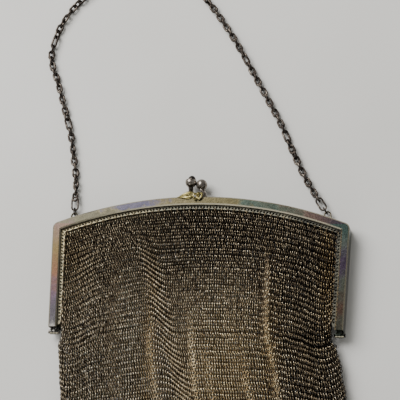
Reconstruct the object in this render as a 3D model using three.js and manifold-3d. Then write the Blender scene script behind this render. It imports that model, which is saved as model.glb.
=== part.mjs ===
// Metal mesh purse, lying on its back: an arched two-part frame with arms, a ball snap
// clasp, a bag of fine ring mesh and a carrying chain.
// Millimetres, +Z up. X runs along the frame, +Y towards the chain, and the front faces up.
// The origin is on the frame's flat back face, in the middle of the bar at the crown.

import * as THREE from 'three';
import { mergeVertices } from 'three/addons/utils/BufferGeometryUtils.js';
import Module from 'manifold-3d';

const wasm = await Module();
wasm.setup();

// Gap between pieces that touch
const gap = 0.3;

// Facets: steps along the arch and its corners, and sides of the round pieces
const archSteps = 20;
const cornerSteps = 3;
const barrelSides = 14;
const tipSides = 20;
const rivetSides = 10;
const stemSides = 8;
const stemSteps = 4;
const ballRings = 9;
const leafSides = 12;
const wireSides = 6;
const bendSteps = 6;

// A cutter is this many times as long as what it goes through
const throughCut = 3;

// Points nearer than this are one point
const weldDistance = 1e-4;

// Frame: chord between its upper corners, rise of the arch and the two arms
const frameWidth = 150;
const archRise = 14.3;
const armLength = 53.2;
const armTaper = 1.6;
const cornerRadius = 3;
const innerCornerRadius = 0.5;

// Channel bar of each half
const barWidth = 4.1;
const halfDepth = 5;
const barWall = 0.9;
const edgeBevel = 0.6;
const armEndWall = 1;

// Pierced rail inside each half
const railSetback = 2.2;
const railThickness = 0.6;
const railReach = 1.8;
const holeDiameter = 0.8;
const holePitch = 4.8;
const holeInset = 0.9;

// Hinge barrels at the arm ends
const knuckleRadius = 1.3;
const webRoot = 1;
const hingePinRadius = 0.5;
const pinHeadRadius = 0.95;
const pinHeadLength = 0.5;

// Chain eyes, each at its own distance from its corner, their rings and the end links
const eyeFromCorner = { left: 9, right: 12 };
const eyeAt = (side) =>
  side * (frameWidth / 2 - (side < 0 ? eyeFromCorner.left : eyeFromCorner.right));
const eyeInset = 1.5;
const eyeWidth = 4.1;
const eyeHeight = 4.8;
const eyeWire = 0.9;
const ringWire = 0.7;
const ringBore = 3;
const endLinkLength = 7.8;
const endLinkWidth = 4.1;
const endLinkWire = 0.9;

// Chain: outer width of its links, and how far the axis runs above the surface
const chainWidth = 3.2;
const chainClearance = 0.1;
const chainSides = 8;
const chainStep = 7.5;

// Clasp
const ballDiameter = 5.4;
const stemRadius = 0.75;
const stemFootRadius = 1.05;
const shankRadius = 0.6;
const rivetHeadRadius = 1.2;
const rivetHeadLength = 0.6;
const collarRadius = 1.6;
const collarLength = 0.6;
const leafLength = 9;
const leafWidth = 3.4;
const leafHeight = 2.4;
const curlRadius = 1.5;
const curlWire = 0.8;
const curlTurn = [Math.PI / 3, Math.PI / 6, 0];
const curlFromFoot = 2.2;
const leafFromFoot = 8;

// Bag of ring mesh
const meshWall = 1;
const bagDrop = 130;
const bagThickness = 9.2;
const bagEdgeRound = 6;
const bagFootThickness = 4.4;
const bagCornerRound = 14;
const mouthShare = 0.15;
const footStart = 0.85;
const foldHeight = 1.2;
const frontColumns = 28;
const backColumns = 10;
const bagRows = 18;

// Route of the chain over the surface, chosen by hand: the left strand upward, the plain arc
// of the part that the picture cuts off, and the right strand downward
const chainRoute = [
  [-66.8, 23.4], [-67.6, 30.4], [-69.2, 38.7], [-71.7, 51.2], [-74.8, 61.0], [-77.9, 70.6],
  [-81.1, 80.5], [-84.2, 88.1], [-85.1, 94.8], [-83.7, 102.0], [-81.4, 109.5], [-77.7, 116.5],
  [-72.5, 123.0], [-64.6, 130.2], [-52.1, 136.9], [-36.7, 139.8], [-21.5, 136.6],
  [-10.4, 129.8], [-2.1, 120.6], [9.1, 104.7], [15.2, 94.8], [21.2, 84.1], [31.1, 66.5],
  [37.3, 55.3], [44.2, 40.2], [48.8, 30.6], [53.3, 22.4],
];

// Folds of the front wall. at: where the fold starts across the mouth, lean: how far it has
// moved across at the foot, half: its half width, all as shares of the bag's width; rise: its
// height as a share of foldHeight; from: the share of the drop where it begins. Each grows to
// its height over foldGrowth of the drop.
const foldGrowth = 0.25;
const folds = [
  { at: 0.05, lean: 0.02, half: 0.05, rise: -0.5, from: 0.1 },
  { at: 0.20, lean: 0.03, half: 0.08, rise: 0.6, from: 0.05 },
  { at: 0.33, lean: 0.04, half: 0.035, rise: 0.8, from: 0.1 },
  { at: 0.39, lean: 0.05, half: 0.045, rise: -0.9, from: 0 },
  { at: 0.50, lean: 0.02, half: 0.07, rise: 0.8, from: 0.1 },
  { at: 0.60, lean: 0.02, half: 0.05, rise: -0.5, from: 0.2 },
  { at: 0.67, lean: 0.03, half: 0.04, rise: 0.6, from: 0.2 },
  { at: 0.78, lean: 0.05, half: 0.035, rise: 1, from: 0.05 },
  { at: 0.85, lean: 0.05, half: 0.045, rise: -0.9, from: 0.1 },
  { at: 0.94, lean: 0.02, half: 0.045, rise: 0.5, from: 0.15 },
];

// Side edges of the bag below the arms. down: share of the drop from the arms to the foot;
// left and right: how far the edge lies outside the rail's end, as a share of bulge.
const bulge = 10;
const sides = [
  { down: 0, left: 0, right: 0 },
  { down: 0.06, left: 0.14, right: 0.28 },
  { down: 0.2, left: 0.02, right: 0.55 },
  { down: 0.4, left: -0.16, right: 0.82 },
  { down: 0.7, left: -0.26, right: 0.95 },
  { down: 1, left: -0.3, right: 1 },
];

// Heights above the surface, and the arch
const meetingHeight = halfDepth + gap / 2;
const frameHeight = 2 * halfDepth + gap;
const archRadius = (frameWidth ** 2 / 4 + archRise ** 2) / (2 * archRise);
const archCentre = new THREE.Vector2(0, archRise - archRadius);

const material = (name, color, roughness, metalness) =>
  new THREE.MeshStandardMaterial({ name, color, roughness, metalness });
const tarnishedSilver = material('tarnished silver', 0x8c8470, 0.35, 0.9);
const railSilver = material('rail silver', 0x7d7a6c, 0.4, 0.9);
const darkSteel = material('dark steel', 0x3b3a38, 0.3, 0.95);
const wornGold = material('worn gold', 0xb9a468, 0.35, 0.9);
const ringMesh = material('ring mesh', 0x4a4030, 0.5, 0.85);
const chainMetal = material('chain metal', 0x55534c, 0.4, 0.9);

// A closed skin over rings of points, all with the same count, capped at both ends
function skin(rings) {
  const count = rings[0].length;
  const positions = rings.flat().flatMap((point) => [point.x, point.y, point.z]);
  const index = [];
  for (let r = 0; r < rings.length - 1; r += 1) {
    for (let i = 0; i < count; i += 1) {
      const a = r * count + i;
      const b = r * count + ((i + 1) % count);
      index.push(a, b, b + count, a, b + count, a + count);
    }
  }
  const addCap = (ring, first, flip) => {
    const [flat, reversed] = flatten(ring);
    for (const [a, b, c] of THREE.ShapeUtils.triangulateShape(flat, [])) {
      const forward = flip !== reversed;
      index.push(first + a, first + (forward ? c : b), first + (forward ? b : c));
    }
  };
  addCap(rings[0], 0, true);
  addCap(rings.at(-1), (rings.length - 1) * count, false);
  return meshFrom(positions, index);
}

// A ring's points in its own plane, and whether they run clockwise there
function flatten(ring) {
  const normal = new THREE.Vector3();
  ring.forEach((point, i) => {
    const next = ring[(i + 1) % ring.length];
    normal.x += (point.y - next.y) * (point.z + next.z);
    normal.y += (point.z - next.z) * (point.x + next.x);
    normal.z += (point.x - next.x) * (point.y + next.y);
  });
  normal.normalize();
  const across = new THREE.Vector3(1, 0, 0);
  if (Math.abs(normal.x) > 0.8) across.set(0, 1, 0);
  across.cross(normal).normalize();
  const along = normal.clone().cross(across);
  const flat = ring.map((point) => new THREE.Vector2(point.dot(across), point.dot(along)));
  return [flat, THREE.ShapeUtils.isClockWise(flat)];
}

function meshFrom(positions, index) {
  const geometry = new THREE.BufferGeometry();
  geometry.setAttribute('position', new THREE.Float32BufferAttribute(positions, 3));
  geometry.setIndex(index);
  return geometry;
}

// Geometry to solid, turned so that its faces point out, and back again
function toSolid(geometry) {
  const bare = geometry.clone();
  bare.deleteAttribute('normal');
  bare.deleteAttribute('uv');
  const welded = mergeVertices(bare, weldDistance);
  const triangles = [];
  const source = welded.getIndex().array;
  for (let i = 0; i < source.length; i += 3) {
    const [a, b, c] = [source[i], source[i + 1], source[i + 2]];
    if (a !== b && b !== c && c !== a) triangles.push(a, b, c);
  }
  const points = welded.getAttribute('position').array;
  if (signedVolume(points, triangles) < 0) triangles.reverse();
  return new wasm.Manifold(new wasm.Mesh({
    numProp: 3,
    vertProperties: Float32Array.from(points),
    triVerts: Uint32Array.from(triangles),
  }));
}

function signedVolume(points, triangles) {
  const corner = (i) => new THREE.Vector3().fromArray(points, 3 * triangles[i]);
  let volume = 0;
  for (let i = 0; i < triangles.length; i += 3) {
    volume += corner(i).dot(corner(i + 1).cross(corner(i + 2)));
  }
  return volume;
}

function toGeometry(solid) {
  const { vertProperties, triVerts } = solid.getMesh();
  return meshFrom(Array.from(vertProperties), Array.from(triVerts));
}

// Solids from three.js shapes, moved or turned into place
function placed(geometry, at, turn = [0, 0, 0]) {
  const rotation = new THREE.Quaternion().setFromEuler(new THREE.Euler(...turn));
  const matrix = new THREE.Matrix4().compose(
    new THREE.Vector3(...at), rotation, new THREE.Vector3(1, 1, 1));
  return toSolid(geometry.clone().applyMatrix4(matrix));
}

const join = (solids) => solids.reduce((whole, solid) => whole.add(solid));
const boxSolid = (size, at) => placed(new THREE.BoxGeometry(...size), at);

// A round bar along a curve, with a radius that can change along it
function roundBar(curve, radiusAt, steps, sidesRound) {
  const rings = [];
  const frames = curve.computeFrenetFrames(steps, false);
  for (let s = 0; s <= steps; s += 1) {
    const centre = curve.getPointAt(s / steps);
    rings.push(Array.from({ length: sidesRound }, (_, i) => {
      const angle = (2 * Math.PI * i) / sidesRound;
      return centre.clone()
        .addScaledVector(frames.normals[s], Math.cos(angle) * radiusAt(s / steps))
        .addScaledVector(frames.binormals[s], Math.sin(angle) * radiusAt(s / steps));
    }));
  }
  return toSolid(skin(rings));
}

// A closed link of round wire in the XY plane, longest along X; outer sizes
function linkGeometry(length, width, wire) {
  const endRadius = (width - wire) / 2;
  const straight = (length - width) / 2;
  const count = barrelSides * wireSides;
  const positions = [];
  const index = [];
  for (let s = 0; s < barrelSides; s += 1) {
    const angle = (2 * Math.PI * (s + 0.5)) / barrelSides;
    const outward = new THREE.Vector3(Math.cos(angle), Math.sin(angle), 0);
    const centre = outward.clone().multiplyScalar(endRadius);
    centre.x += Math.sign(outward.x) * straight;
    for (let i = 0; i < wireSides; i += 1) {
      const turn = (2 * Math.PI * i) / wireSides;
      const point = centre.clone().addScaledVector(outward, (Math.cos(turn) * wire) / 2);
      positions.push(point.x, point.y, (Math.sin(turn) * wire) / 2);
      const a = s * wireSides + i;
      const b = s * wireSides + ((i + 1) % wireSides);
      const nextA = (a + wireSides) % count;
      const nextB = (b + wireSides) % count;
      index.push(a, b, nextB, a, nextB, nextA);
    }
  }
  return meshFrom(positions, index);
}

const polar = (radius, angle) =>
  new THREE.Vector2(Math.cos(angle), Math.sin(angle)).multiplyScalar(radius);

// Line down the left arm, inset from the frame's outer edge
function armLine(inset) {
  const down = new THREE.Vector2(armTaper, -armLength).normalize();
  const inward = new THREE.Vector2(-down.y, down.x);
  const start = new THREE.Vector2(-frameWidth / 2, 0).addScaledVector(inward, inset);
  return { start, down, inward };
}

// The frame's outline inset by a distance, as points from the left arm's end over the arch to
// the right arm's end. armEnd is how far down the arms it reaches.
function outline(inset, armEnd) {
  const radius = Math.max(cornerRadius - inset, innerCornerRadius);
  const { start, down, inward } = armLine(inset + radius);
  const toCentre = start.clone().sub(archCentre);
  const reach = archRadius - inset - radius;
  const b = toCentre.dot(down);
  const along = -b - Math.sqrt(b * b - toCentre.lengthSq() + reach * reach);
  const corner = start.clone().addScaledVector(down, along);
  const radial = corner.clone().sub(archCentre).normalize();
  const arm = armLine(inset);
  const left = [arm.start.clone().addScaledVector(arm.down, armEnd)];
  const from = inward.clone().negate().angle();
  const to = radial.angle();
  for (let s = 0; s <= cornerSteps; s += 1) {
    const angle = THREE.MathUtils.lerp(from, to, s / cornerSteps);
    left.push(polar(radius, angle).add(corner));
  }
  const arch = [];
  for (let s = 1; s < archSteps; s += 1) {
    const angle = THREE.MathUtils.lerp(to, Math.PI - to, s / archSteps);
    arch.push(polar(archRadius - inset, angle).add(archCentre));
  }
  const right = left.map((point) => new THREE.Vector2(-point.x, point.y)).reverse();
  return [...left, ...arch, ...right];
}

// A bar along the outline. The profile's points are [inset, height above the meeting plane].
function barAlongOutline(profile, armEnd) {
  const lines = profile.map(([inset]) => outline(inset, armEnd));
  const rings = lines[0].map((_, step) => profile.map(([, height], i) =>
    new THREE.Vector3(lines[i][step].x, lines[i][step].y, meetingHeight + height)));
  return toSolid(skin(rings));
}

// The back half is the front one turned over about the meeting plane
function turnedOver(solid) {
  return solid.mirror([0, 0, 1]).translate([0, 0, 2 * meetingHeight]);
}

const railTop = halfDepth + gap / 2 - railSetback;
const faceHeight = halfDepth + gap / 2;
const barProfile = [
  [0, gap / 2],
  [0, faceHeight - edgeBevel],
  [edgeBevel, faceHeight],
  [barWidth - edgeBevel, faceHeight],
  [barWidth, faceHeight - edgeBevel],
  [barWidth, railTop + gap],
  [barWidth - barWall, railTop + gap],
  [barWidth - barWall, faceHeight - barWall],
  [barWall, faceHeight - barWall],
  [barWall, gap / 2],
];

// Hinge axis: just past the arm ends, at the meeting plane
const hingeDrop = armLength + gap + knuckleRadius;
const armEndInset = armLine(0).start.clone().addScaledVector(armLine(0).down, armLength).x;
const hingeOuter = Math.abs(armEndInset);
const knuckleLength = (barWidth - 2 * gap) / 3;

// One knuckle of the right hinge, with the web that joins it to its half
function knuckle(slot, webHeight) {
  const middle = hingeOuter - knuckleLength / 2 - slot * (knuckleLength + gap);
  const barrel = new THREE.CylinderGeometry(
    knuckleRadius, knuckleRadius, knuckleLength, barrelSides);
  const webTop = webRoot - armLength;
  const web = boxSolid([knuckleLength, webTop + hingeDrop, webHeight],
    [middle, (webTop - hingeDrop) / 2, meetingHeight + (gap + webHeight) / 2]);
  return placed(barrel, [middle, -hingeDrop, meetingHeight], [0, 0, Math.PI / 2]).add(web);
}

const bothSides = (solid) => solid.add(solid.mirror([1, 0, 0]));

// Solid end of the right arm, inside the channel, from its face to the meeting plane
function armPlug() {
  const height = halfDepth - barWall;
  const size = [barWidth - barWall, armEndWall, height];
  const middle = hingeOuter + (armTaper * armEndWall) / (2 * armLength) - barWidth / 2;
  return boxSolid(size,
    [middle, -armLength + armEndWall / 2, meetingHeight + (gap + height) / 2]);
}

// What both halves share, before the hinge's bore and the clasp's seat are cut
function halfBlank(knuckleSlots) {
  const knuckles = knuckleSlots.map((slot) => knuckle(slot, knuckleRadius));
  const bar = barAlongOutline(barProfile, armLength).add(bothSides(armPlug()));
  const bore = new THREE.CylinderGeometry(
    hingePinRadius + gap, hingePinRadius + gap, throughCut * barWidth, barrelSides);
  const boreAt = [hingeOuter - barWidth / 2, -hingeDrop, meetingHeight];
  const hole = placed(bore, boreAt, [0, 0, Math.PI / 2]);
  return bar.add(bothSides(join(knuckles))).subtract(bothSides(hole));
}

// Point on the arch, inset from its outer edge, and the height of the arch above x
const archY = (x, inset = 0) => archCentre.y + Math.sqrt((archRadius - inset) ** 2 - x * x);

// Hole through a bar's outer wall for a clasp rivet, running along Y
function rivetHole(x, height) {
  const hole = new THREE.CylinderGeometry(
    shankRadius + gap, shankRadius + gap, throughCut * barWall, rivetSides);
  return placed(hole, [x, archY(x) - barWall / 2, height]);
}

const backBarMiddle = halfDepth / 2;
const frontBarMiddle = frameHeight - halfDepth / 2;
const clasp = {
  front: { foot: 1.2, ball: new THREE.Vector3(-0.9, archRise + 7.5, meetingHeight) },
  back: { foot: -6.2, ball: new THREE.Vector3(-6.3, archRise + 9.7, meetingHeight) },
};

function frameFront() {
  return halfBlank([1]).subtract(rivetHole(clasp.front.foot, frontBarMiddle));
}

// Everything inboard of the bars' outer walls
function insideOfWall() {
  const profile = [
    [barWall, -faceHeight], [barWall, faceHeight], [railOuter, faceHeight], [railOuter, -faceHeight],
  ];
  return barAlongOutline(profile, armLength);
}

// The staple that the chain hangs from, soldered into the back bar
const eyeRadius = (eyeWidth - eyeWire) / 2;
const eyeLeg = eyeHeight - eyeWidth / 2;
function chainEye(side) {
  const points = [new THREE.Vector3(-eyeRadius, -eyeInset, 0)];
  for (let s = 0; s <= bendSteps; s += 1) {
    const bend = polar(eyeRadius, Math.PI * (1 - s / bendSteps));
    points.push(new THREE.Vector3(bend.x, eyeLeg + bend.y, 0));
  }
  points.push(new THREE.Vector3(eyeRadius, -eyeInset, 0));
  const path = new THREE.CurvePath();
  points.slice(1).forEach((point, i) => path.add(new THREE.LineCurve3(points[i], point)));
  const wire = roundBar(path, () => eyeWire / 2, 2 * bendSteps, wireSides);
  const x = eyeAt(side);
  return wire.translate([x, archY(x), backBarMiddle]).subtract(insideOfWall());
}

function frameBack() {
  const blank = turnedOver(halfBlank([0, 2]));
  return join([blank, chainEye(-1), chainEye(1)])
    .subtract(rivetHole(clasp.back.foot, backBarMiddle));
}

// Pierced rail of the front half, with round ends. It is tucked under the bar, behind the
// heads of the clasp's rivets.
const railTuck = barWall + rivetHeadLength + 2 * gap;
const railOuter = barWidth + railReach;
function rail() {
  const railEnd = armLength - armEndWall - gap - (railOuter - railTuck) / 2;
  const base = railTop - railThickness;
  const strip = barAlongOutline(
    [[railTuck, base], [railTuck, railTop], [railOuter, railTop], [railOuter, base]], railEnd);
  const middle = armLine((railTuck + railOuter) / 2);
  const end = middle.start.addScaledVector(middle.down, railEnd);
  const tipRadius = (railOuter - railTuck) / 2;
  const tip = new THREE.CylinderGeometry(tipRadius, tipRadius, railThickness, tipSides);
  const tipAt = [end.x, end.y, meetingHeight + base + railThickness / 2];
  const tipSolid = placed(tip, tipAt, [Math.PI / 2, 0, 0]);
  return strip.add(bothSides(tipSolid)).subtract(join(railHoles(railEnd)));
}

// Holes at an even pitch along the rail, worked out from its length
function railHoles(railEnd) {
  const line = new THREE.CurvePath();
  const points = outline(barWidth + holeInset, railEnd);
  points.slice(1).forEach((point, i) => line.add(new THREE.LineCurve(points[i], point)));
  const count = Math.floor(line.getLength() / holePitch);
  const hole = new THREE.CylinderGeometry(
    holeDiameter / 2, holeDiameter / 2, throughCut * railThickness, wireSides);
  const height = meetingHeight + railTop - railThickness / 2;
  return Array.from({ length: count }, (_, i) => {
    const at = line.getPointAt((i + 0.5) / count);
    return placed(hole, [at.x, at.y, height], [Math.PI / 2, 0, 0]);
  });
}

// Headed pin through the three knuckles of the right hinge
function hingePin() {
  const half = barWidth / 2 + gap;
  const profile = [
    [0, -half - pinHeadLength], [pinHeadRadius, -half - pinHeadLength], [pinHeadRadius, -half],
    [hingePinRadius, -half], [hingePinRadius, half], [pinHeadRadius, half],
    [pinHeadRadius, half + pinHeadLength], [0, half + pinHeadLength],
  ].map(([radius, along]) => new THREE.Vector2(radius, along));
  return placed(new THREE.LatheGeometry(profile, rivetSides),
    [hingeOuter - barWidth / 2, -hingeDrop, meetingHeight], [0, 0, Math.PI / 2]);
}

// Headed shank of a clasp foot, from its collar through the bar's outer wall
function shank(x, height) {
  const top = archY(x) + gap;
  const bottom = archY(x) - barWall - gap;
  const profile = [
    [0, bottom - rivetHeadLength], [rivetHeadRadius, bottom - rivetHeadLength],
    [rivetHeadRadius, bottom], [shankRadius, bottom], [shankRadius, top],
    [collarRadius, top], [collarRadius, top + collarLength], [0, top + collarLength],
  ].map(([radius, along]) => new THREE.Vector2(radius, along));
  return placed(new THREE.LatheGeometry(profile, rivetSides), [x, 0, height]);
}

// A ball stud: its rivet, a tapered bent stem and the ball
function ballStud({ foot, ball }, height, bow) {
  const start = new THREE.Vector3(foot, archY(foot) + gap + collarLength / 2, height);
  const middle = start.clone().lerp(ball, 0.5);
  middle.x += bow;
  const stem = roundBar(new THREE.QuadraticBezierCurve3(start, middle, ball),
    (share) => THREE.MathUtils.lerp(stemFootRadius, stemRadius, share), stemSteps, stemSides);
  const sphere = placed(
    new THREE.SphereGeometry(ballDiameter / 2, barrelSides, ballRings), ball.toArray());
  return join([shank(foot, height), stem, sphere]);
}

// The leaf and the curl at the front stud's foot, hollowed where the bar passes under them
function claspLeaf() {
  const { foot } = clasp.front;
  const leafMiddle = foot - leafFromFoot;
  const leaf = new THREE.SphereGeometry(0.5, leafSides, wireSides)
    .scale(leafLength, leafWidth, leafHeight);
  const lean = Math.atan2(archY(foot) - archY(leafMiddle), foot - leafMiddle);
  const base = [leafMiddle, archY(leafMiddle), frameHeight];
  const curl = new THREE.TorusGeometry(curlRadius, curlWire, wireSides, leafSides);
  const curlAt = [foot - curlFromFoot, archY(foot) + gap + collarLength / 2, frameHeight];
  return placed(leaf, base, [0, 0, lean]).add(placed(curl, curlAt, curlTurn));
}

function barClearance() {
  const profile = [
    [-gap, -faceHeight], [-gap, faceHeight + gap], [railOuter + gap, faceHeight + gap],
    [railOuter + gap, -faceHeight],
  ];
  return barAlongOutline(profile, armLength);
}

function claspFront() {
  const stud = ballStud(clasp.front, frontBarMiddle, curlRadius);
  return stud.add(claspLeaf().subtract(barClearance()));
}

const claspBack = () => ballStud(clasp.back, backBarMiddle, 0);

// Height of the folds above the plain front wall
function foldAt(across, down) {
  return folds.reduce((height, fold) => {
    const off = (across - fold.at - fold.lean * down) / fold.half;
    const grow = THREE.MathUtils.smoothstep(down, fold.from, fold.from + foldGrowth);
    return height + foldHeight * fold.rise * grow * Math.exp(-off * off);
  }, 0);
}

// Value of a table's column at a share down the bag, with a smooth step between rows
function fromTable(table, column, down) {
  const next = table.findIndex((row) => row.down >= down);
  if (next <= 0) return table[0][column];
  const [before, after] = [table[next - 1], table[next]];
  const share = THREE.MathUtils.smoothstep(down, before.down, after.down);
  return THREE.MathUtils.lerp(before[column], after[column], share);
}

// Edge of the bag at a height: in line with the rail down to the hinge, by the table below it
const bagInset = railOuter + gap;
const mouthHalf = Math.abs(armLine(bagInset).start.x);
const bagFoot = -bagDrop;
const bulgeStart = hingeDrop + knuckleRadius + gap;
function bagEdge(y, side) {
  const byRail = mouthHalf - armTaper * (Math.min(-y, bulgeStart) / armLength);
  const below = Math.max(0, (-y - bulgeStart) / (bagDrop - bulgeStart));
  return side * (byRail + bulge * fromTable(sides, side < 0 ? 'left' : 'right', below));
}

// Foot of the bag at a place along it, with its two corners rounded in the flat
function footY(along, width) {
  const off = Math.max(0, 1 - Math.min(along, width - along) / bagCornerRound);
  return bagFoot + bagCornerRound * (1 - Math.sqrt(1 - off * off));
}

// Walls of the bag at a place. across runs 0 to 1 from left to right, down 0 to 1 from the
// mouth to the foot. The mouth lies at the rails, and the back wall sinks to the surface.
// The inner faces lie a wall's thickness inside the outer ones.
const mouthHeight = railTop - railThickness / 2 + meshWall / 2;
const mouthEndY = archY(mouthHalf, bagInset);
function bagPoint(across, down, front, inset) {
  const edgeY = THREE.MathUtils.lerp(mouthEndY, bagFoot + bagCornerRound, down);
  const left = bagEdge(edgeY, -1) + inset;
  const right = bagEdge(edgeY, 1) - inset;
  const x = THREE.MathUtils.lerp(left, right, across);
  const mouthX = THREE.MathUtils.lerp(-mouthHalf, mouthHalf, across);
  const footHere = footY(across * (right - left), right - left);
  const y = THREE.MathUtils.lerp(archY(mouthX, bagInset), footHere, down);
  const edge = Math.min(across, 1 - across) * (right - left);
  const belowArms = THREE.MathUtils.smoothstep(
    -y, armLength - bagEdgeRound, armLength + bagEdgeRound);
  const fromEdge = Math.min(1, edge / (bagEdgeRound - inset));
  const round = 1 - belowArms * (1 - Math.sqrt(1 - (1 - fromEdge) ** 2));
  const foot = THREE.MathUtils.smoothstep(down, footStart, 1);
  const full = THREE.MathUtils.lerp(bagThickness, bagFootThickness, foot);
  const besideArms = (1 - Math.min(1, edge / (2 * bagEdgeRound))) * (1 - belowArms);
  const atRail = Math.max(1 - THREE.MathUtils.smoothstep(down, 0, mouthShare), besideArms);
  const loose = full + foldAt(across, down) * (1 - foot / 2);
  const low = THREE.MathUtils.lerp(0, meetingHeight - mouthHeight, atRail) + inset;
  const high = THREE.MathUtils.lerp(loose, meetingHeight + mouthHeight, atRail) - inset;
  const seam = (low + high) / 2;
  return new THREE.Vector3(x, y, THREE.MathUtils.lerp(seam, front ? high : low, round));
}

// One closed ring of the bag: the front wall from left to right, then the back wall
function bagRing(down, inset) {
  const ring = [];
  const level = Math.min(down, 1 - inset / bagDrop);
  for (let c = 0; c <= frontColumns; c += 1) {
    ring.push(bagPoint(c / frontColumns, level, true, inset));
  }
  for (let c = backColumns; c >= 0; c -= 1) {
    ring.push(bagPoint(c / backColumns, level, false, inset));
  }
  return ring;
}

// Side slits beside the arms, where the two walls hang apart
function armSlits() {
  const height = 2 * mouthHeight - 2 * meshWall;
  const top = archRise;
  const size = [4 * meshWall, top + armLength - meshWall, height];
  const at = [bagEdge(-armLength / 2, 1), (top - armLength + meshWall) / 2, meetingHeight];
  return bothSides(boxSolid(size, at));
}

function meshBag() {
  const outer = [];
  const inner = [];
  for (let r = 0; r <= bagRows; r += 1) {
    outer.push(bagRing(r / bagRows, 0));
    inner.unshift(bagRing(r / bagRows, meshWall));
  }
  return toSolid(skin([...inner, ...outer])).subtract(armSlits());
}

// The way each end of the chain leaves its eye, and what hangs there
function chainEnd(side) {
  const x = eyeAt(side);
  const eyeCentre = new THREE.Vector3(x, archY(x) + eyeLeg, backBarMiddle);
  const route = side < 0 ? chainRoute[0] : chainRoute.at(-1);
  const away = new THREE.Vector3(route[0], route[1], backBarMiddle).sub(eyeCentre).normalize();
  const eyeTop = eyeCentre.addScaledVector(away, eyeRadius);
  const toRing = ringBore / 2 - eyeWire / 2 - gap;
  const toLink = ringBore / 2 - endLinkWire / 2 - gap;
  const ringCentre = eyeTop.clone().addScaledVector(away, toRing);
  const linkStart = ringCentre.clone().addScaledVector(away, toLink - endLinkWire / 2);
  const linkCentre = linkStart.clone().addScaledVector(away, endLinkLength / 2);
  const chainStart = linkStart.clone().addScaledVector(away, endLinkLength + gap);
  return { ringCentre, linkCentre, chainStart, angle: Math.atan2(away.y, away.x) };
}

function eyeRing(side) {
  const { ringCentre, angle } = chainEnd(side);
  const ring = new THREE.TorusGeometry(
    (ringBore + ringWire) / 2, ringWire / 2, wireSides, barrelSides);
  const upright = ring.rotateX(Math.PI / 2).rotateZ(angle);
  return placed(upright, ringCentre.toArray());
}

function endLink(side) {
  const { linkCentre, angle } = chainEnd(side);
  const link = linkGeometry(endLinkLength, endLinkWidth, endLinkWire).rotateZ(angle);
  return placed(link, linkCentre.toArray());
}

// The chain's outer form: a tube as wide as its links along the whole route
function chain() {
  const height = chainWidth / 2 + chainClearance;
  const onSurface = ([x, y]) => new THREE.Vector3(x, y, height);
  const start = chainEnd(-1).chainStart.setZ(height);
  const end = chainEnd(1).chainStart.setZ(height);
  const route = new THREE.CatmullRomCurve3([start, ...chainRoute.map(onSurface), end]);
  const section = new THREE.Shape(Array.from({ length: chainSides }, (_, i) =>
    polar(chainWidth / 2, (2 * Math.PI * (i + 0.5)) / chainSides)));
  const steps = Math.round(route.getLength() / chainStep);
  const along = { steps, extrudePath: route, bevelEnabled: false };
  return toSolid(new THREE.ExtrudeGeometry(section, along));
}

function addPiece(group, name, solid, pieceMaterial) {
  const mesh = new THREE.Mesh(toGeometry(solid), pieceMaterial);
  mesh.name = name;
  group.add(mesh);
}

const purse = new THREE.Group();
purse.position.y = barWidth / 2 - archRise;
addPiece(purse, 'frame_front', frameFront(), tarnishedSilver);
addPiece(purse, 'frame_back', frameBack(), tarnishedSilver);
addPiece(purse, 'rail_front', rail(), railSilver);
addPiece(purse, 'rail_back', turnedOver(rail()), railSilver);
addPiece(purse, 'hinge_pin_left', hingePin().mirror([1, 0, 0]), darkSteel);
addPiece(purse, 'hinge_pin_right', hingePin(), darkSteel);
addPiece(purse, 'clasp_front', claspFront(), wornGold);
addPiece(purse, 'clasp_back', claspBack(), darkSteel);
addPiece(purse, 'mesh_bag', meshBag(), ringMesh);
addPiece(purse, 'eye_ring_left', eyeRing(-1), darkSteel);
addPiece(purse, 'eye_ring_right', eyeRing(1), darkSteel);
addPiece(purse, 'end_link_left', endLink(-1), chainMetal);
addPiece(purse, 'end_link_right', endLink(1), chainMetal);
addPiece(purse, 'chain', chain(), chainMetal);

export default purse;
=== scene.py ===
# Metal mesh purse lying on its back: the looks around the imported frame.
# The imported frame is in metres. Pieces are modelled in millimetres in the frame maker's own
# coordinates, where y is 0 at the frame's upper corners, and settle() brings them to metres.

import bpy
import numpy as np
from mathutils import Euler, Matrix, Vector


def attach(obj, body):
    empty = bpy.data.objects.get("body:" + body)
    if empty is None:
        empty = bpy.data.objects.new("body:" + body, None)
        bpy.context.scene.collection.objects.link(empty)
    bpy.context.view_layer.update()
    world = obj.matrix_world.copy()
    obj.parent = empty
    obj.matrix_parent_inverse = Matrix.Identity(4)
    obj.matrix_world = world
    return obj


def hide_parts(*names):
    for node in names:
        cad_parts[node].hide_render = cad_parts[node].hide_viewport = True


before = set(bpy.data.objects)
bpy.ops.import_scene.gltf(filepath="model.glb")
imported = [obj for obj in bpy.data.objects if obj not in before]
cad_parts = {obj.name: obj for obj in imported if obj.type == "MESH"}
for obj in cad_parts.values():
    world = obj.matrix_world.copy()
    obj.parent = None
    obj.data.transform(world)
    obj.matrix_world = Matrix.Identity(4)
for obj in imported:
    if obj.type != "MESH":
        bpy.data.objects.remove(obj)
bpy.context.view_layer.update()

# Frame: arch, arms and the bars of its two halves
GAP = 0.3
FRAME_WIDTH = 150.0
ARCH_RISE = 14.3
ARM_LENGTH = 53.2
ARM_TAPER = 1.6
BAR_WIDTH = 4.1
HALF_DEPTH = 5.0
MEETING_HEIGHT = HALF_DEPTH + GAP / 2
FRAME_HEIGHT = 2 * HALF_DEPTH + GAP
INNER_CORNER = 0.5
ARCH_RADIUS = (FRAME_WIDTH ** 2 / 4 + ARCH_RISE ** 2) / (2 * ARCH_RISE)
ARCH_CENTRE = ARCH_RISE - ARCH_RADIUS
ROW_ORIGIN = BAR_WIDTH / 2 - ARCH_RISE

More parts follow.
